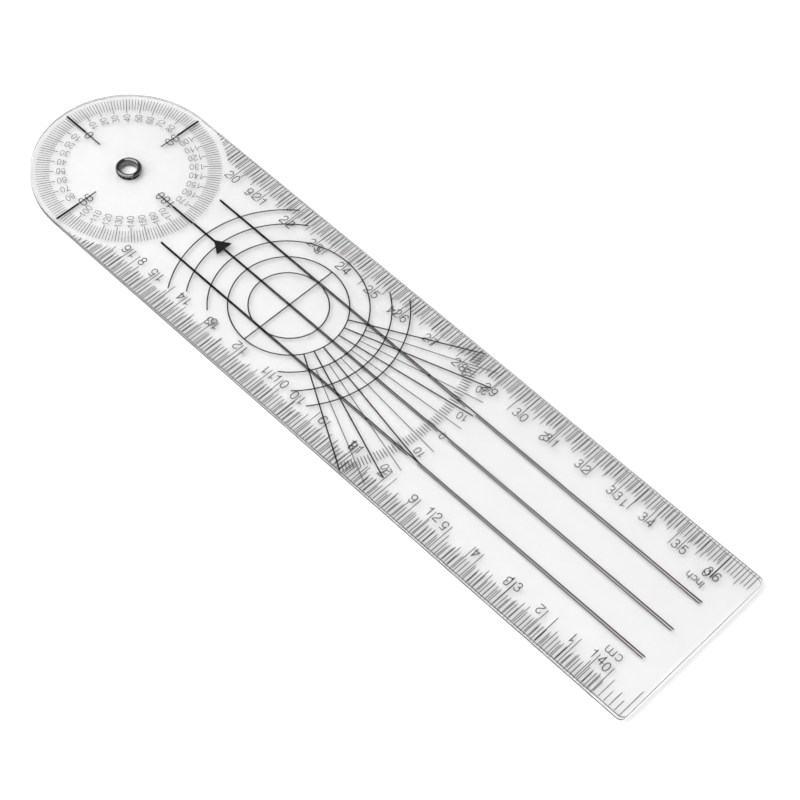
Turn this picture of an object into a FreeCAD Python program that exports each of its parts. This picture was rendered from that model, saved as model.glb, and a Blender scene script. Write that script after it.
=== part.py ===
"""Two-arm folding goniometer of clear printed plastic sheet, lying folded.

Millimetres. The origin is on the pivot axis at the underside of the lower
plate. +X runs along the arms to their square ends, +Z is the printed side.
The lower plate carries the degree dial, the upper plate the pointer.
"""
import FreeCAD, Part

import math
import os

V = FreeCAD.Vector
UP = V(0, 0, 1)

# ---- the two plates
ARM_WIDTH = 50.0
ARM_END_X = 189.5            # pivot axis to the square end
END_CORNER_R = 1.5
PLATE_T = 0.7
PLATE_GAP = 0.05
EDGE_ROUND = 0.1             # die-cut edges are slightly rounded
FLAT_TOLERANCE = 1e-6        # an edge whose height changes by less than this lies flat
REST_SKEW_DEG = 0.126        # the folded arms lie this far from square on each other

HEAD_R = ARM_WIDTH / 2
STACK_T = 2 * PLATE_T + PLATE_GAP
UPPER_Z = PLATE_T + PLATE_GAP

# ---- the hollow eyelet that is the pivot
EYELET_BORE_R = 2.15
EYELET_WALL = 0.25
EYELET_FLANGE_R = 3.35
EYELET_FLANGE_H = 0.5
EYELET_CLINCH_R = 3.2
EYELET_CLINCH_H = 0.55
FIXED_HOLE_CLEARANCE = 0.02
RUNNING_CLEARANCE = 0.05

EYELET_BARREL_R = EYELET_BORE_R + EYELET_WALL

# ---- the printed ink
INK_T = 0.02
EDGE_MARGIN = 0.15           # print stops this far from the plate's edge
DIAL_CLEAR_R = 25.3          # the arm print keeps outside this radius

SLIVER_AREA = 0.02           # square millimetres, the smallest piece of a cut stroke that is kept

# ---- the edge scales: they count from the dial arm's end, across the pivot when opened out
RULER_TICK_W = 0.17
INCH = 25.4
SCALE_ZERO_X = 180.0         # where the dial arm's scales start
OPEN_ZERO_X = -SCALE_ZERO_X  # the same place as the pointer arm sees it, arms opened out
SCALE_LAST_X = 188.4

MM_TICK = 4.8
HALF_CM_TICK = 6.1
CM_TICK = 8.6
SIXTEENTH_TICK = 3.4
EIGHTH_TICK = 4.7
QUARTER_TICK = 5.8
HALF_INCH_TICK = 8.2

# ---- the degree dial
DIAL_STEP_DEG = 2
DIAL_TICK_W = 0.12
DIAL_TEN_W = 0.16
DIAL_TICK_OUT_R = 23.65
DIAL_TICK_IN_R = 20.1
DIAL_TEN_IN_R = 18.95
CROSS_IN_R = 11.0
CROSS_STEP_R = 16.7
CROSS_OUT_R = 24.0
CROSS_THIN_W = 0.33
CROSS_THICK_W = 0.6

# ---- the long guide lines
GUIDE_OFFSET = 10.0
DIAL_ARM_GUIDE_W = 0.29
POINTER_ARM_GUIDE_W = 0.35
GUIDE_MIDDLE_START_X = 24.2
DIAL_ARM_GUIDE_END_X = 182.65
POINTER_ARM_GUIDE_END_X = 183.0
GUIDE_GAPS = ((-GUIDE_OFFSET, 109.3, 112.5), (0.0, 109.5, 113.0), (GUIDE_OFFSET, 109.3, 112.5))

# ---- the curvature circles and the angle fan on the dial arm
CIRCLE_X = 58.75
CIRCLE_W = 0.32
FULL_CIRCLES = (10.0, 15.0)
ARCS = (                     # radius, from degrees, to degrees
    (20.0, -51.7, 231.7),
    (25.4, -42.9, 56.0),
    (25.4, 124.7, 217.7),
    (30.0, -36.3, 50.7),
    (30.0, 130.6, 217.3),
)
FAN_OUT_R = 54.3
FAN_TEN_IN_R = 15.0
FAN_FIVE_IN_R = 20.0
FAN_TEN_W = 0.34
FAN_FIVE_W = 0.18
FAN_TICK_IN_R = 46.9
FAN_TICK_OUT_R = 49.4
FAN_SPAN_DEG = 30

# ---- the pointer
ARROW_TIP_X = 31.7
ARROW_BASE_X = 35.6
ARROW_HALF_W = 2.6


def plate(hole_r):
    """One arm: a round head about the pivot and a long straight body with a square end."""
    half = ARM_WIDTH / 2
    corner_x = ARM_END_X - END_CORNER_R
    corner_y = half - END_CORNER_R
    diagonal = END_CORNER_R * math.sqrt(0.5)
    edges = [
        Part.LineSegment(V(0, -half, 0), V(corner_x, -half, 0)),
        Part.Arc(V(corner_x, -half, 0), V(corner_x + diagonal, -corner_y - diagonal, 0),
                 V(ARM_END_X, -corner_y, 0)),
        Part.LineSegment(V(ARM_END_X, -corner_y, 0), V(ARM_END_X, corner_y, 0)),
        Part.Arc(V(ARM_END_X, corner_y, 0), V(corner_x + diagonal, corner_y + diagonal, 0),
                 V(corner_x, half, 0)),
        Part.LineSegment(V(corner_x, half, 0), V(0, half, 0)),
        Part.Arc(V(0, half, 0), V(-HEAD_R, 0, 0), V(0, -half, 0)),
    ]
    outline = Part.Wire([edge.toShape() for edge in edges])
    slab = Part.Face(outline).extrude(UP * PLATE_T)
    rim = [edge for edge in slab.Edges if edge.BoundBox.ZLength < FLAT_TOLERANCE]
    slab = slab.makeFillet(EDGE_ROUND, rim)
    return slab.cut(Part.makeCylinder(hole_r, PLATE_T * 3, V(0, 0, -PLATE_T)))


def roll_section(face_z, outward, outer_r, height):
    """Half section of one rolled end of the eyelet, a thin wall curled outwards."""
    mid_r = (EYELET_BORE_R + outer_r) / 2
    inner_mid_r = (EYELET_BARREL_R + outer_r - EYELET_WALL) / 2
    tip_z = face_z + outward * height
    inner_tip_z = tip_z - outward * EYELET_WALL
    points = [
        V(EYELET_BORE_R, 0, face_z),
        V(mid_r, 0, tip_z),
        V(outer_r, 0, face_z),
        V(outer_r - EYELET_WALL, 0, face_z),
        V(inner_mid_r, 0, inner_tip_z),
        V(EYELET_BARREL_R, 0, face_z),
    ]
    edges = [
        Part.Arc(points[0], points[1], points[2]).toShape(),
        Part.LineSegment(points[2], points[3]).toShape(),
        Part.Arc(points[3], points[4], points[5]).toShape(),
        Part.LineSegment(points[5], points[0]).toShape(),
    ]
    return Part.Face(Part.Wire(edges))


def eyelet():
    """Hollow metal eyelet: a barrel with a domed flange on top and a clinched roll below."""
    flange_z = STACK_T + FIXED_HOLE_CLEARANCE
    barrel = Part.makePolygon([
        V(EYELET_BORE_R, 0, 0), V(EYELET_BARREL_R, 0, 0),
        V(EYELET_BARREL_R, 0, flange_z), V(EYELET_BORE_R, 0, flange_z),
        V(EYELET_BORE_R, 0, 0),
    ])
    sections = [
        Part.Face(barrel),
        roll_section(flange_z, 1, EYELET_FLANGE_R, EYELET_FLANGE_H),
        roll_section(0, -1, EYELET_CLINCH_R, EYELET_CLINCH_H),
    ]
    turned = [face.revolve(V(0, 0, 0), UP, 360) for face in sections]
    return turned[0].multiFuse(turned[1:]).removeSplitter()


def bar(start, end, width):
    """Flat face of a straight stroke between two (x, y) points."""
    along = V(end[0] - start[0], end[1] - start[1], 0)
    side = V(-along.y, along.x, 0).normalize() * (width / 2)
    first = V(start[0], start[1], 0)
    last = V(end[0], end[1], 0)
    corners = [first - side, last - side, last + side, first + side, first - side]
    return Part.Face(Part.makePolygon(corners))


def ray(centre_x, angle_deg, inner_r, outer_r, width):
    """Flat face of a stroke along a radius of a centre on the X axis."""
    angle = math.radians(angle_deg)
    start = (centre_x + inner_r * math.cos(angle), inner_r * math.sin(angle))
    end = (centre_x + outer_r * math.cos(angle), outer_r * math.sin(angle))
    return bar(start, end, width)


def ring(centre_x, radius, width):
    """Flat face of a full circle line."""
    centre = V(centre_x, 0, 0)
    outer = Part.Wire([Part.Circle(centre, UP, radius + width / 2).toShape()])
    inner = Part.Wire([Part.Circle(centre, UP, radius - width / 2).toShape()])
    return Part.Face(outer).cut(Part.Face(inner))


def arc_line(centre_x, radius, from_deg, to_deg, width):
    """Flat face of a circle line between two angles."""
    def point(r, deg):
        angle = math.radians(deg)
        return V(centre_x + r * math.cos(angle), r * math.sin(angle), 0)

    outer_r = radius + width / 2
    inner_r = radius - width / 2
    middle = (from_deg + to_deg) / 2
    edges = [
        Part.Arc(point(outer_r, from_deg), point(outer_r, middle), point(outer_r, to_deg)),
        Part.LineSegment(point(outer_r, to_deg), point(inner_r, to_deg)),
        Part.Arc(point(inner_r, to_deg), point(inner_r, middle), point(inner_r, from_deg)),
        Part.LineSegment(point(inner_r, from_deg), point(outer_r, from_deg)),
    ]
    return Part.Face(Part.Wire([edge.toShape() for edge in edges]))


def without(faces, covered):
    """The strokes less what other print already covers, as separate faces."""
    kept = []
    for face in faces:
        near = [other for other in covered if face.BoundBox.intersect(other.BoundBox)]
        pieces = face.cut(Part.makeCompound(near)).Faces if near else [face]
        kept += [piece for piece in pieces if piece.Area > SLIVER_AREA]
    return kept


def on_arm(faces):
    """The strokes cut off where they would run past the strip of the arm that takes print."""
    half = HEAD_R - EDGE_MARGIN
    band = Part.makePlane(ARM_END_X, 2 * half, V(0, -half, 0))
    return [piece for face in faces for piece in face.common(band).Faces]


def film(faces, z):
    """A film of ink on the face at height z, one solid for each stroke."""
    solids = []
    for face in faces:
        solids.append(face.translated(V(0, 0, z)).extrude(UP * INK_T))
    return Part.makeCompound(solids)


def edge_tick(x, length, side):
    """A ruler tick from the plate's long edge inwards, kept clear of the dial."""
    outer_y = HEAD_R - EDGE_MARGIN
    inner_y = HEAD_R - length
    if x < DIAL_CLEAR_R:
        inner_y = max(inner_y, math.sqrt(DIAL_CLEAR_R ** 2 - x ** 2))
    if outer_y - inner_y < RULER_TICK_W:
        return None
    return bar((x, side * outer_y), (x, side * inner_y), RULER_TICK_W)


def cm_tick_length(millimetres):
    if millimetres % 10 == 0:
        return CM_TICK
    if millimetres % 5 == 0:
        return HALF_CM_TICK
    return MM_TICK


def inch_tick_length(sixteenths):
    for step, length in ((8, HALF_INCH_TICK), (4, QUARTER_TICK), (2, EIGHTH_TICK)):
        if sixteenths % step == 0:
            return length
    return SIXTEENTH_TICK


def ruler(zero_x, direction, step, length_of, side):
    """Every tick of one edge scale that lands on the arm, counted from the scale's zero."""
    lowest, highest = sorted(direction * (x - zero_x) / step for x in (0, SCALE_LAST_X))
    ticks = []
    for number in range(max(0, math.ceil(lowest)), math.floor(highest) + 1):
        tick = edge_tick(zero_x + direction * number * step, length_of(number), side)
        if tick:
            ticks.append(tick)
    return ticks


def degree_ticks():
    faces = []
    for angle in range(0, 360, DIAL_STEP_DEG):
        if angle % 90 == 0:
            continue
        if angle % 10 == 0:
            faces.append(ray(0, angle, DIAL_TEN_IN_R, DIAL_TICK_OUT_R, DIAL_TEN_W))
        else:
            faces.append(ray(0, angle, DIAL_TICK_IN_R, DIAL_TICK_OUT_R, DIAL_TICK_W))
    return faces


def zero_cross():
    """The dial's four main lines, thin towards the pivot and thick towards the rim."""
    faces = []
    for angle in (0, 90, 180, 270):
        faces.append(ray(0, angle, CROSS_IN_R, CROSS_STEP_R, CROSS_THIN_W))
        faces.append(ray(0, angle, CROSS_STEP_R, CROSS_OUT_R, CROSS_THICK_W))
    return faces


def guide_start(y):
    """The outer guides start outside the dial, the middle one close to its zero cross."""
    if y == 0:
        return GUIDE_MIDDLE_START_X
    return math.sqrt(DIAL_CLEAR_R ** 2 - y ** 2)


def dial_arm_guides():
    faces = []
    for y, gap_start, gap_end in GUIDE_GAPS:
        faces.append(bar((guide_start(y), y), (gap_start, y), DIAL_ARM_GUIDE_W))
        faces.append(bar((gap_end, y), (DIAL_ARM_GUIDE_END_X, y), DIAL_ARM_GUIDE_W))
    return faces


def pointer_arm_guides():
    return [bar((guide_start(y), y), (POINTER_ARM_GUIDE_END_X, y), POINTER_ARM_GUIDE_W)
            for y in (-GUIDE_OFFSET, 0, GUIDE_OFFSET)]


def circles():
    faces = [ring(CIRCLE_X, radius, CIRCLE_W) for radius in FULL_CIRCLES]
    faces += [arc_line(CIRCLE_X, radius, start, end, CIRCLE_W) for radius, start, end in ARCS]
    return faces


def circle_axis():
    """The line across the two inner circles, broken by the middle guide line."""
    reach = FULL_CIRCLES[-1]
    return [bar((CIRCLE_X, -reach), (CIRCLE_X, reach), CIRCLE_W)]


def fan_lines():
    faces = []
    for angle in range(-FAN_SPAN_DEG, FAN_SPAN_DEG + 1, 5):
        if angle == 0:
            continue
        if angle % 10 == 0:
            faces.append(ray(CIRCLE_X, angle, FAN_TEN_IN_R, FAN_OUT_R, FAN_TEN_W))
        else:
            faces.append(ray(CIRCLE_X, angle, FAN_FIVE_IN_R, FAN_OUT_R, FAN_FIVE_W))
    return on_arm(faces)


def fan_ticks():
    faces = []
    for angle in range(-FAN_SPAN_DEG, FAN_SPAN_DEG + 1):
        if angle % 5:
            faces.append(ray(CIRCLE_X, angle, FAN_TICK_IN_R, FAN_TICK_OUT_R, FAN_FIVE_W))
    return on_arm(faces)


def arrow():
    corners = [V(ARROW_TIP_X, 0, 0), V(ARROW_BASE_X, -ARROW_HALF_W, 0),
               V(ARROW_BASE_X, ARROW_HALF_W, 0), V(ARROW_TIP_X, 0, 0)]
    return [Part.Face(Part.makePolygon(corners))]


def dial_arm():
    """The lower plate and its print. Each stroke gives way to the print listed before it."""
    layers = {
        "dial_degree_ticks": degree_ticks(),
        "dial_zero_cross": zero_cross(),
        "dial_arm_cm_ticks": ruler(SCALE_ZERO_X, -1, 1.0, cm_tick_length, -1),
        "dial_arm_inch_ticks": ruler(SCALE_ZERO_X, -1, INCH / 16, inch_tick_length, 1),
        "dial_arm_guide_lines": dial_arm_guides(),
        "curvature_circles": circles(),
        "circle_axis_line": circle_axis(),
        "angle_fan_lines": fan_lines(),
        "angle_fan_ticks": fan_ticks(),
    }
    nodes = {"dial_arm_plate": plate(EYELET_BARREL_R + FIXED_HOLE_CLEARANCE)}
    covered = []
    for name, faces in layers.items():
        kept = without(faces, covered)
        covered += kept
        nodes[name] = film(kept, PLATE_T)
    return nodes


def pointer_arm():
    """The upper plate and its print, turned by the small angle at which it lies."""
    face_z = UPPER_Z + PLATE_T
    pointer = arrow()
    layers = {
        "pointer_arm_cm_ticks": ruler(OPEN_ZERO_X, 1, 1.0, cm_tick_length, 1),
        "pointer_arm_inch_ticks": ruler(OPEN_ZERO_X, 1, INCH / 16, inch_tick_length, -1),
        "pointer_arm_guide_lines": without(pointer_arm_guides(), pointer),
        "pointer_arrow": pointer,
    }
    nodes = {"pointer_arm_plate": plate(EYELET_BARREL_R + RUNNING_CLEARANCE)}
    nodes["pointer_arm_plate"].translate(V(0, 0, UPPER_Z))
    for name, faces in layers.items():
        nodes[name] = film(faces, face_z)
    for shape in nodes.values():
        shape.rotate(V(0, 0, 0), UP, REST_SKEW_DEG)
    return nodes


def main():
    os.makedirs("parts", exist_ok=True)
    nodes = {"pivot_eyelet": eyelet()}
    nodes.update(dial_arm())
    nodes.update(pointer_arm())
    for name, shape in nodes.items():
        if not shape.isValid():
            raise ValueError(name + " is not a valid shape")
        shape.exportStep("parts/" + name + ".step")
        print(name, len(shape.Solids), "solids", round(shape.Volume, 3), "mm3", shape.BoundBox)


main()
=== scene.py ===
"""Looks of the folding goniometer: clear plastic, black print with numbers, and a metal eyelet.

Blender units are metres. Sizes that belong to the drawing are given in millimetres and turned
into metres by MM. The frame's own boxes say where the plates, the print and the eyelet are.
"""

import math

import bmesh
import bpy
from mathutils import Matrix, Vector


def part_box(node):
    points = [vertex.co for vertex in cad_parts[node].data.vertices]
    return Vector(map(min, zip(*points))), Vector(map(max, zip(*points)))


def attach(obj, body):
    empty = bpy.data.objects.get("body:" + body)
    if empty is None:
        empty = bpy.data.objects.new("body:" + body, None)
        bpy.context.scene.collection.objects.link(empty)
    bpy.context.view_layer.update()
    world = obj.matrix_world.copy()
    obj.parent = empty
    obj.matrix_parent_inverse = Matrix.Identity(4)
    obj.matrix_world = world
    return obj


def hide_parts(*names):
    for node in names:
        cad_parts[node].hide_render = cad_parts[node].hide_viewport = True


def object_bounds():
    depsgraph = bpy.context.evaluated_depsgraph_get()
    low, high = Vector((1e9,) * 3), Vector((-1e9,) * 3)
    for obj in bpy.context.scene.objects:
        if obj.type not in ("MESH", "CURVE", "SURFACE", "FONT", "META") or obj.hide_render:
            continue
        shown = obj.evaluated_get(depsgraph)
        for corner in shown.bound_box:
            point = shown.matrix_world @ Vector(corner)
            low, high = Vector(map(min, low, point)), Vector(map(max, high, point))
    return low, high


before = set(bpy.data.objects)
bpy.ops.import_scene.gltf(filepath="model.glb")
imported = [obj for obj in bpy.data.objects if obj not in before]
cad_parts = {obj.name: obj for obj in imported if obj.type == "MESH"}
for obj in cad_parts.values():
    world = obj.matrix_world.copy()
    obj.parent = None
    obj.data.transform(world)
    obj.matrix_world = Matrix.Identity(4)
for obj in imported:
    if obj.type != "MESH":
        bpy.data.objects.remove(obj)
cad_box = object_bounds()

MM = 0.001

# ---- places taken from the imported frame, each as its lowest and highest corner
UPPER_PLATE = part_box("pointer_arm_plate")
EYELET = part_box("pivot_eyelet")
LOWER_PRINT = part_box("dial_zero_cross")
UPPER_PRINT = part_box("pointer_arrow")

# ---- the drawing, in millimetres, with the pivot at its origin
CM = 10.0
INCH = 25.4
SCALE_ZERO_X = 180.0          # zero of the dial arm's scales, which count towards the pivot
CIRCLE_X = 58.75

# ---- the two arms: the printed layer that their numbers lie in, and how far each is turned at rest
PRINTED_LAYER = {"dial_arm": LOWER_PRINT, "pointer_arm": UPPER_PRINT}
ARM_TURN_DEG = {"dial_arm": 0.0, "pointer_arm": 0.126}

# ---- camera and floor
CAMERA_AT = Vector((0.2758, -0.2236, 0.4229))
CAMERA_AIM = Vector((0.0972, -0.0002, 0.0013))
CAMERA_ROLL_DEG = 6.91
CAMERA_LENS = 95.9
CAMERA_SENSOR = 36.0
FLOOR_SIZE = 6.0
FLOOR_CELLS = 8

# ---- light: white walls up to a certain height, a dim ceiling and one large softbox
WALL_LEVEL = 0.9
CEILING_LEVEL = 0.13
WALL_TOP = 0.45               # heights on the room's dome, from 0 at the horizon to 1 overhead
CEILING_START = 0.62
SOFTBOX_AT = Vector((-0.15, -0.32, 0.9))
SOFTBOX_SIZE = 1.3
SOFTBOX_POWER = 15.5
LIGHT_BOUNCES = 20            # each plate takes two, and light crosses both plates at least twice


# ------------------------------------------------------------------ materials

def new_material(name):
    """A material with its nodes, its links and its Principled shader."""
    material = bpy.data.materials.new(name)
    material.use_nodes = True
    nodes = material.node_tree.nodes
    shader = nodes["Principled BSDF"]
    return material, nodes, material.node_tree.links, shader


def object_noise(nodes, links, scale, detail, stretch=(1.0, 1.0, 1.0)):
    """Noise in the object's own metres. A stretch under 1 draws it out along that axis."""
    place = nodes.new("ShaderNodeTexCoord")
    mapping = nodes.new("ShaderNodeMapping")
    mapping.inputs["Scale"].default_value = stretch
    noise = nodes.new("ShaderNodeTexNoise")
    noise.inputs["Scale"].default_value = scale
    noise.inputs["Detail"].default_value = detail
    links.new(place.outputs["Object"], mapping.inputs["Vector"])
    links.new(mapping.outputs["Vector"], noise.inputs["Vector"])
    return noise


def ramp(nodes, links, source, low, high, low_at=0.3, high_at=0.7):
    """Turns a value into a colour: low up to low_at, high from high_at, and a blend between."""
    node = nodes.new("ShaderNodeValToRGB")
    ends = node.color_ramp.elements
    ends[0].position, ends[1].position = low_at, high_at
    ends[0].color = (*low, 1.0)
    ends[1].color = (*high, 1.0)
    links.new(source, node.inputs["Fac"])
    return node


def grey(value):
    return (value, value, value)


def add_bump(nodes, links, shader, height, strength, distance):
    bump = nodes.new("ShaderNodeBump")
    bump.inputs["Strength"].default_value = strength
    bump.inputs["Distance"].default_value = distance
    links.new(height, bump.inputs["Height"])
    links.new(bump.outputs["Normal"], shader.inputs["Normal"])


def on_side_walls(nodes, links, flat, wall):
    """One value on the level faces and another on the upright ones, by the object's own normal."""
    place = nodes.new("ShaderNodeTexCoord")
    split = nodes.new("ShaderNodeSeparateXYZ")
    level = nodes.new("ShaderNodeMath")
    level.operation = "ABSOLUTE"
    blend = nodes.new("ShaderNodeMix")
    links.new(place.outputs["Normal"], split.inputs["Vector"])
    links.new(split.outputs["Z"], level.inputs[0])
    links.new(level.outputs["Value"], blend.inputs["Factor"])
    links.new(wall.outputs["Color"], blend.inputs["A"])
    links.new(flat.outputs["Color"], blend.inputs["B"])
    return blend.outputs["Result"]


def clear_plastic():
    """Polished clear sheet with fine marks along the arm and a faint swell, frosted on its cut edges."""
    material, nodes, links, shader = new_material("clear_plastic")
    shader.inputs["Transmission Weight"].default_value = 1.0
    shader.inputs["IOR"].default_value = 1.5
    tint = object_noise(nodes, links, scale=9.0, detail=2.0)
    colour = ramp(nodes, links, tint.outputs["Fac"], grey(0.962), grey(0.975))
    links.new(colour.outputs["Color"], shader.inputs["Base Color"])
    marks = object_noise(nodes, links, scale=900.0, detail=4.0, stretch=(0.05, 1.0, 1.0))
    polished = ramp(nodes, links, marks.outputs["Fac"], grey(0.008), grey(0.045), low_at=0.55, high_at=0.8)
    cuts = object_noise(nodes, links, scale=2500.0, detail=3.0, stretch=(1.0, 1.0, 0.1))
    frosted = ramp(nodes, links, cuts.outputs["Fac"], grey(0.45), grey(0.65))
    links.new(on_side_walls(nodes, links, polished, frosted), shader.inputs["Roughness"])
    swell = object_noise(nodes, links, scale=35.0, detail=1.0)
    add_bump(nodes, links, shader, swell.outputs["Fac"], strength=0.12, distance=0.05 * MM)
    return material


def printed_ink():
    """Screen-printed black ink: slightly uneven cover with a satin surface."""
    material, nodes, links, shader = new_material("printed_ink")
    cover = object_noise(nodes, links, scale=2600.0, detail=3.0)
    colour = ramp(nodes, links, cover.outputs["Fac"], grey(0.003), grey(0.010))
    links.new(colour.outputs["Color"], shader.inputs["Base Color"])
    shader.inputs["Specular IOR Level"].default_value = 0.15
    rough = ramp(nodes, links, cover.outputs["Fac"], grey(0.42), grey(0.6))
    links.new(rough.outputs["Color"], shader.inputs["Roughness"])
    add_bump(nodes, links, shader, cover.outputs["Fac"], strength=0.3, distance=0.004 * MM)
    return material


def dark_nickel():
    """Polished nickel plate with its base colour held dark as a painted dark reflection, uneven in tone,
    with fine marks along the eyelet's axis.
    """
    material, nodes, links, shader = new_material("dark_nickel")
    shader.inputs["Metallic"].default_value = 1.0
    tone = object_noise(nodes, links, scale=700.0, detail=3.0)
    # base colour held dark: painted dark reflection, standing in for dark surroundings mirrored in the
    # metal; the unevenness is the plate's own tone
    colour = ramp(nodes, links, tone.outputs["Fac"], (0.13, 0.13, 0.126), (0.19, 0.188, 0.182))
    links.new(colour.outputs["Color"], shader.inputs["Base Color"])
    marks = object_noise(nodes, links, scale=4200.0, detail=5.0, stretch=(1.0, 1.0, 0.2))
    rough = ramp(nodes, links, marks.outputs["Fac"], grey(0.04), grey(0.12))
    links.new(rough.outputs["Color"], shader.inputs["Roughness"])
    add_bump(nodes, links, shader, tone.outputs["Fac"], strength=0.15, distance=0.02 * MM)
    return material


def white_floor():
    """Matt white paper with a very light mottling."""
    material, nodes, links, shader = new_material("white_floor")
    mottle = object_noise(nodes, links, scale=3.0, detail=3.0)
    colour = ramp(nodes, links, mottle.outputs["Fac"], grey(0.93), grey(0.96))
    links.new(colour.outputs["Color"], shader.inputs["Base Color"])
    shader.inputs["Roughness"].default_value = 0.9
    shader.inputs["Specular IOR Level"].default_value = 0.1
    return material


# ------------------------------------------------------------------ meshes into pieces

def join_rings(mesh, rings, closed):
    """Skins each ring of points to the next, and the last to the first where the row is closed."""
    pairs = list(zip(rings, rings[1:]))
    if closed:
        pairs.append((rings[-1], rings[0]))
    for first, second in pairs:
        for corner in range(len(first)):
            step = (corner + 1) % len(first)
            mesh.faces.new((first[corner], second[corner], second[step], first[step]))


def add_object(name, mesh, material):
    """Adds a finished mesh to the scene as an object of its own."""
    bmesh.ops.recalc_face_normals(mesh, faces=mesh.faces)
    data = bpy.data.meshes.new(name)
    mesh.to_mesh(data)
    mesh.free()
    data.materials.append(material)
    piece = bpy.data.objects.new(name, data)
    bpy.context.scene.collection.objects.link(piece)
    return piece


# ------------------------------------------------------------------ numerals
# A glyph is a list of strokes, and a stroke is the points of its centre line. The capital
# height is 1 and a digit is DIGIT_W wide, both between centre lines.

DIGIT_W = 0.58
GLYPH_GAP = 0.15
X_HEIGHT = 0.72
ARCH_RISE = 0.22
CURVE_STEPS = 14
TURN_STEPS = 3 * CURVE_STEPS
LEAST_STEPS = 4
ROUNDNESS = 0.9               # an oval's power: 1 is an ellipse, and less fills out its corners


def oval(cx, cy, rx, ry, from_deg, to_deg):
    """Points on a slightly squared oval, from one angle to another."""
    steps = max(LEAST_STEPS, int(abs(to_deg - from_deg) / 360 * TURN_STEPS))
    points = []
    for step in range(steps + 1):
        angle = math.radians(from_deg + (to_deg - from_deg) * step / steps)
        across, up = math.cos(angle), math.sin(angle)
        points.append((cx + rx * math.copysign(abs(across) ** ROUNDNESS, across),
                       cy + ry * math.copysign(abs(up) ** ROUNDNESS, up)))
    return points


def bend(start, pull_start, pull_end, end):
    """Points on a cubic curve."""
    points = []
    for step in range(CURVE_STEPS + 1):
        t = step / CURVE_STEPS
        weights = ((1 - t) ** 3, 3 * t * (1 - t) ** 2, 3 * t * t * (1 - t), t ** 3)
        corners = (start, pull_start, pull_end, end)
        points.append(tuple(sum(w * corner[axis] for w, corner in zip(weights, corners))
                            for axis in (0, 1)))
    return points


def six():
    bowl = oval(0.29, 0.30, 0.27, 0.30, 0, 360)
    back = bend((0.02, 0.32), (0.02, 0.86), (0.14, 1.0), (0.32, 1.0))
    hook = bend((0.32, 1.0), (0.44, 1.0), (0.51, 0.94), (0.53, 0.85))
    return [bowl, back + hook[1:]]


def turned_over(strokes):
    return [[(DIGIT_W - x, 1 - y) for x, y in stroke] for stroke in strokes]


def stem(x, height):
    return [(x, 0.0), (x, height)]


def arch(left, right):
    """The arch of an n, m or h, from one stem across and down."""
    middle = (left + right) / 2
    return oval(middle, X_HEIGHT - ARCH_RISE, (right - left) / 2, ARCH_RISE, 180, 0) + [(right, 0.0)]


GLYPHS = {
    "0": [oval(0.29, 0.5, 0.27, 0.5, 0, 360)],
    "1": [oval(0.06, 1.0, 0.28, 0.24, -90, 0), [(0.34, 1.0), (0.34, 0.0)]],
    "2": [oval(0.29, 0.71, 0.25, 0.29, 170, -15)
          + bend((0.535, 0.64), (0.49, 0.42), (0.06, 0.30), (0.03, 0.0)), [(0.03, 0.0), (0.56, 0.0)]],
    "3": [oval(0.28, 0.76, 0.22, 0.24, 165, -90), oval(0.28, 0.26, 0.26, 0.26, 90, -165)],
    "4": [stem(0.43, 1.0), [(0.43, 1.0), (0.02, 0.27)], [(0.02, 0.27), (0.58, 0.27)]],
    "5": [[(0.52, 1.0), (0.11, 1.0)], [(0.11, 1.0), (0.06, 0.49)],
          oval(0.29, 0.33, 0.27, 0.33, 147, -160)],
    "6": six(),
    "7": [[(0.02, 1.0), (0.56, 1.0)], bend((0.56, 1.0), (0.38, 0.74), (0.22, 0.42), (0.19, 0.0))],
    "8": [oval(0.29, 0.76, 0.22, 0.24, 0, 360), oval(0.29, 0.26, 0.27, 0.26, 0, 360)],
    "9": turned_over(six()),
    "c": [oval(0.32, 0.36, 0.30, 0.36, 50, 310)],
    "m": [stem(0.05, X_HEIGHT), arch(0.05, 0.53), arch(0.53, 1.01)],
    "n": [stem(0.05, X_HEIGHT), arch(0.05, 0.58)],
    "h": [stem(0.05, 1.0), arch(0.05, 0.58)],
    "I": [stem(0.08, 1.0)],
}
GLYPH_WIDTHS = {"m": 1.06, "I": 0.16, "n": 0.63, "h": 0.63, "c": 0.64}
MEETING_ENDS = 0.01           # ends nearer than this share of the stroke's width close it


def ribbon(mesh, points, width, low, high):
    """A flat raised stroke along a line of points. Open ends stand half a width past their points."""
    closed = math.dist(points[0], points[-1]) < width * MEETING_ENDS
    if closed:
        points = points[:-1]
    rings = []
    for index, here in enumerate(points):
        first = not closed and index == 0
        last = not closed and index == len(points) - 1
        before = here if first else points[index - 1]
        after = here if last else points[(index + 1) % len(points)]
        along = Vector((after[0] - before[0], after[1] - before[1])).normalized()
        centre = Vector(here) + along * width / 2 * (last - first)
        reach = Vector((-along.y, along.x)) * width / 2
        left, right = centre + reach, centre - reach
        corners = ((left, low), (right, low), (right, high), (left, high))
        rings.append([mesh.verts.new((corner.x, corner.y, z)) for corner, z in corners])
    join_rings(mesh, rings, closed)
    if not closed:
        mesh.faces.new(rings[0])
        mesh.faces.new(reversed(rings[-1]))


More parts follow.
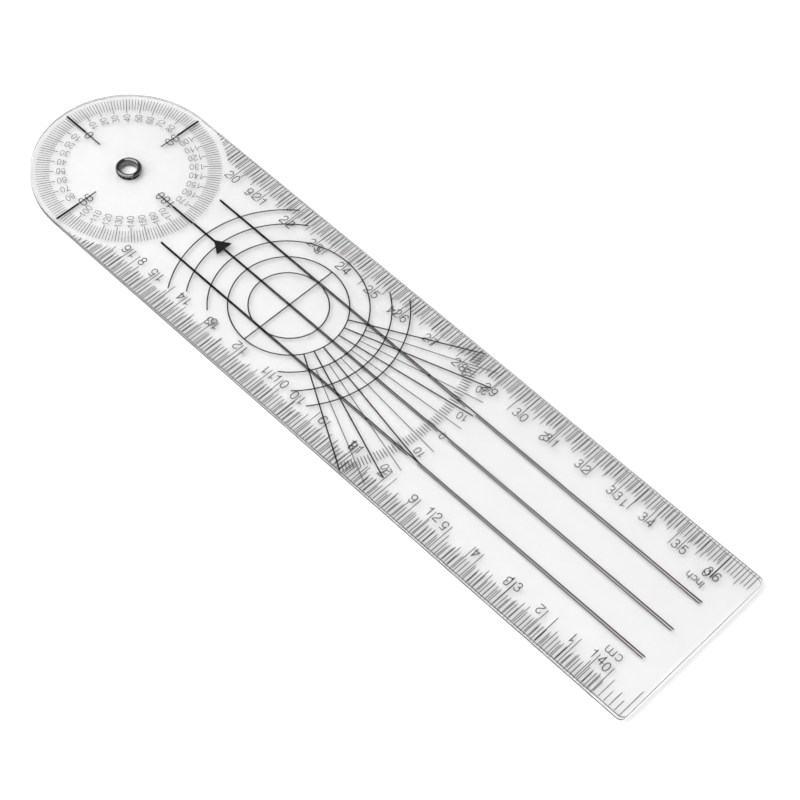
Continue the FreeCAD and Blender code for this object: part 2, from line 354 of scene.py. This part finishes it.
class Print:
    """One group of numbers, printed on the top face of one arm."""

    def __init__(self, name, body, stroke):
        self.name = name
        self.body = body
        self.stroke = stroke
        self.mesh = bmesh.new()

    def write(self, text, centre, turn_deg, cap, advance=None):
        """Writes text centred on a point in mm, with its reading direction turned from +X."""
        height = cap - self.stroke
        widths = [GLYPH_WIDTHS.get(letter, DIGIT_W) for letter in text]
        gaps = [GLYPH_GAP] * len(text)
        if advance:
            gaps = [advance / height - width for width in widths]
        turn = Matrix.Rotation(math.radians(turn_deg), 2)
        cursor = -(sum(widths) + sum(gaps[:-1])) / 2
        for letter, width, gap in zip(text, widths, gaps):
            for stroke in GLYPHS[letter]:
                spots = [turn @ Vector(((cursor + x) * height, (y - 0.5) * height)) for x, y in stroke]
                self.draw([(centre[0] + spot.x, centre[1] + spot.y) for spot in spots])
            cursor += width + gap

    def draw(self, points):
        """Draws one stroke through points in mm, as thick as the arm's printed layer."""
        bottom, top = PRINTED_LAYER[self.body]
        ribbon(self.mesh, [(x * MM, y * MM) for x, y in points], self.stroke * MM, bottom[2], top[2])

    def finish(self, ink):
        """Turns the drawing with its arm and makes it a piece."""
        turn = Matrix.Rotation(math.radians(ARM_TURN_DEG[self.body]), 3, "Z")
        bmesh.ops.rotate(self.mesh, verts=self.mesh.verts, cent=(0, 0, 0), matrix=turn)
        piece = add_object(self.name, self.mesh, ink)
        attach(piece, self.body)


# each ruler's piece, its arm, its numbers, the millimetres from one to the next, and its side
RULERS = (
    ("dial_arm_cm_numbers", "dial_arm", range(0, 17), CM, -1),
    ("dial_arm_inch_numbers", "dial_arm", range(0, 7), INCH, 1),
    ("pointer_arm_cm_numbers", "pointer_arm", range(20, 37), CM, 1),
    ("pointer_arm_inch_numbers", "pointer_arm", range(8, 15), INCH, -1),
)
RULER_CAP = 2.6
RULER_STROKE = 0.22
RULER_NUMBER_Y = 17.5
RULER_ADVANCE = 2.3
SINGLE_DIGIT_STEP = 1.5


def ruler_numbers(ink):
    """The dial arm counts towards the pivot, and the pointer arm goes on counting away from it.

    Two digits stand astride their tick; a single digit stands just after it.
    """
    for name, arm, numbers, spacing, side in RULERS:
        page = Print(name, arm, RULER_STROKE)
        outward = 1 if arm == "pointer_arm" else -1
        turn_deg = 0 if arm == "pointer_arm" else 180
        for number in numbers:
            past_tick = SINGLE_DIGIT_STEP if number < 10 else 0.0
            x = outward * (spacing * number - SCALE_ZERO_X + past_tick)
            page.write(str(number), (x, side * RULER_NUMBER_Y), turn_deg, RULER_CAP, RULER_ADVANCE)
        page.finish(ink)


CM_NAME_AT = (177.45, -14.1)
CM_NAME_CAP = 2.6
INCH_NAME_AT = (177.8, 14.05)
INCH_NAME_CAP = 2.05
UNIT_STROKE = 0.2


def unit_names(ink):
    page = Print("unit_names", "dial_arm", UNIT_STROKE)
    page.write("cm", CM_NAME_AT, 180, CM_NAME_CAP)
    page.write("Inch", INCH_NAME_AT, 180, INCH_NAME_CAP)
    page.finish(ink)


def on_circle(radius, angle_deg, centre_x=0.0):
    angle = math.radians(angle_deg)
    return (centre_x + radius * math.cos(angle), radius * math.sin(angle))


DIAL_CAP = 1.8
DIAL_ADVANCE = 1.3
DIAL_STROKE = 0.13
DIAL_TWO_DIGITS_R = 17.2
DIAL_THREE_DIGITS_R = 17.3


def dial_numbers(ink):
    """Tens round the dial, along the radius: outward on the head side, inward on the arm side."""
    page = Print("dial_numbers", "dial_arm", DIAL_STROKE)
    for degrees in range(10, 180, 10):
        if degrees == 90:
            continue
        radius = DIAL_TWO_DIGITS_R if degrees < 100 else DIAL_THREE_DIGITS_R
        for angle in (180 - degrees, 180 + degrees):
            turn_deg = angle if degrees < 90 else angle + 180
            page.write(str(degrees), on_circle(radius, angle), turn_deg, DIAL_CAP, DIAL_ADVANCE)
    page.finish(ink)


CROSS_CAP = 2.65
CROSS_ADVANCE = 1.95
CROSS_STROKE = 0.22
CROSS_TEXT = (                # number, place and turn
    ("0", (-15.35, 0.0), 180),
    ("180", (13.85, 0.0), 180),
    ("90", (0.28, 14.65), -90),
    ("90", (0.28, -14.65), -90),
)


def cross_numbers(ink):
    """The four large numbers that the zero cross runs through."""
    page = Print("dial_cross_numbers", "dial_arm", CROSS_STROKE)
    for text, centre, turn_deg in CROSS_TEXT:
        page.write(text, centre, turn_deg, CROSS_CAP, CROSS_ADVANCE)
    page.finish(ink)


FAN_CAP = 2.15
FAN_ADVANCE = 1.45
FAN_STROKE = 0.19
FAN_TEXT_R = 52.4
FAN_TEXT = ((0, 0.0), (10, 8.1), (-10, -8.1), (20, 18.2), (-20, -18.2))   # degrees, placed at


def fan_numbers(ink):
    """The angle fan's numbers, each turned by its own angle."""
    page = Print("angle_fan_numbers", "dial_arm", FAN_STROKE)
    for degrees, placed_at in FAN_TEXT:
        centre = on_circle(FAN_TEXT_R, placed_at, CIRCLE_X)
        page.write(str(abs(degrees)), centre, 180 + degrees, FAN_CAP, FAN_ADVANCE)
    page.finish(ink)


# ------------------------------------------------------------------ eyelet

EYELET_FLANGE_R = EYELET[1][0]
EYELET_TOP = EYELET[1][2]
EYELET_BOTTOM = EYELET[0][2]
EYELET_BORE_R = 2.15 * MM
EYELET_WALL = 0.25 * MM
EYELET_CLINCH_R = 3.2 * MM
FLANGE_GAP = 0.02 * MM        # the flange's rim stands this far off the upper plate
FLANGE_Z = UPPER_PLATE[1][2] + FLANGE_GAP
LATHE_STEPS = 128
ROLL_STEPS = 16


def roll_profile(face_z, outward, outer_r, height):
    """Section of one rolled end, from the bore's mouth out to the rim and back under it."""
    mid_r = (EYELET_BORE_R + outer_r) / 2
    half = (outer_r - EYELET_BORE_R) / 2
    outside, inside = [], []
    for step in range(ROLL_STEPS + 1):
        angle = math.pi * step / ROLL_STEPS
        across, rise = math.cos(angle), outward * math.sin(angle)
        outside.append((mid_r + half * across, face_z + height * rise))
        inside.append((mid_r + (half - EYELET_WALL) * across, face_z + (height - EYELET_WALL) * rise))
    return outside[::-1] + inside


def eyelet(metal):
    """The hollow eyelet, turned from one closed section: its flange above, its clinched end below."""
    flange = roll_profile(FLANGE_Z, 1, EYELET_FLANGE_R, EYELET_TOP - FLANGE_Z)
    clinch = roll_profile(0.0, -1, EYELET_CLINCH_R, -EYELET_BOTTOM)
    section = flange + clinch[::-1]
    mesh = bmesh.new()
    rings = []
    for step in range(LATHE_STEPS):
        angle = 2 * math.pi * step / LATHE_STEPS
        rings.append([mesh.verts.new((r * math.cos(angle), r * math.sin(angle), z)) for r, z in section])
    join_rings(mesh, rings, closed=True)
    piece = add_object("eyelet_shell", mesh, metal)
    piece.data.shade_smooth()
    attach(piece, "dial_arm")
    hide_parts("pivot_eyelet")


# ------------------------------------------------------------------ stage

def floor():
    """A level sweep of white paper at the height of the object's lowest point."""
    bpy.ops.mesh.primitive_grid_add(x_subdivisions=FLOOR_CELLS, y_subdivisions=FLOOR_CELLS,
                                    size=FLOOR_SIZE, location=(0, 0, cad_box[0][2]))
    sweep = bpy.context.object
    sweep.name = "floor"
    sweep.data.materials.append(white_floor())


def studio_light():
    """A white-walled room with a dim ceiling, and a large softbox overhead."""
    world = bpy.data.worlds.new("studio")
    world.use_nodes = True
    nodes, links = world.node_tree.nodes, world.node_tree.links
    direction = nodes.new("ShaderNodeTexCoord")
    split = nodes.new("ShaderNodeSeparateXYZ")
    links.new(direction.outputs["Generated"], split.inputs["Vector"])
    room = ramp(nodes, links, split.outputs["Z"], grey(WALL_LEVEL), grey(CEILING_LEVEL),
                low_at=WALL_TOP, high_at=CEILING_START)
    links.new(room.outputs["Color"], nodes["Background"].inputs["Color"])
    bpy.context.scene.world = world

    lamp = bpy.data.lights.new("softbox", "AREA")
    lamp.size = SOFTBOX_SIZE
    lamp.energy = SOFTBOX_POWER
    softbox = bpy.data.objects.new("softbox", lamp)
    softbox.location = SOFTBOX_AT
    softbox.rotation_euler = SOFTBOX_AT.to_track_quat("Z", "Y").to_euler()
    bpy.context.scene.collection.objects.link(softbox)


def let_light_through():
    """Keeps the light that has crossed both plates sharp, and follows it far enough."""
    cycles = bpy.context.scene.cycles
    cycles.blur_glossy = 0.0
    cycles.max_bounces = LIGHT_BOUNCES
    cycles.transmission_bounces = LIGHT_BOUNCES
    cycles.glossy_bounces = LIGHT_BOUNCES


def camera():
    """The camera, rolled about its line of sight, and a plain conversion of light to picture."""
    forward = (CAMERA_AIM - CAMERA_AT).normalized()
    level = forward.cross(Vector((0, 0, 1))).normalized()
    upright = level.cross(forward)
    roll = math.radians(CAMERA_ROLL_DEG)
    right = level * math.cos(roll) + upright * math.sin(roll)
    up = right.cross(forward)
    data = bpy.data.cameras.new("camera")
    data.lens = CAMERA_LENS
    data.sensor_width = CAMERA_SENSOR
    view = bpy.data.objects.new("camera", data)
    facing = Matrix((right, up, -forward)).transposed().to_4x4()
    view.matrix_world = Matrix.Translation(CAMERA_AT) @ facing
    bpy.context.scene.collection.objects.link(view)
    bpy.context.scene.camera = view
    bpy.context.scene.view_settings.view_transform = "Standard"


def dress_cad_nodes(plastic, ink):
    """Plates and printed lines keep their CAD shapes and take the finished materials."""
    for name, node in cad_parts.items():
        if name == "pivot_eyelet":
            continue
        material = plastic if name.endswith("_plate") else ink
        for slot in node.material_slots:
            slot.material = material


def main():
    plastic, ink, metal = clear_plastic(), printed_ink(), dark_nickel()
    camera()
    floor()
    studio_light()
    let_light_through()
    dress_cad_nodes(plastic, ink)
    ruler_numbers(ink)
    unit_names(ink)
    dial_numbers(ink)
    cross_numbers(ink)
    fan_numbers(ink)
    eyelet(metal)


main()
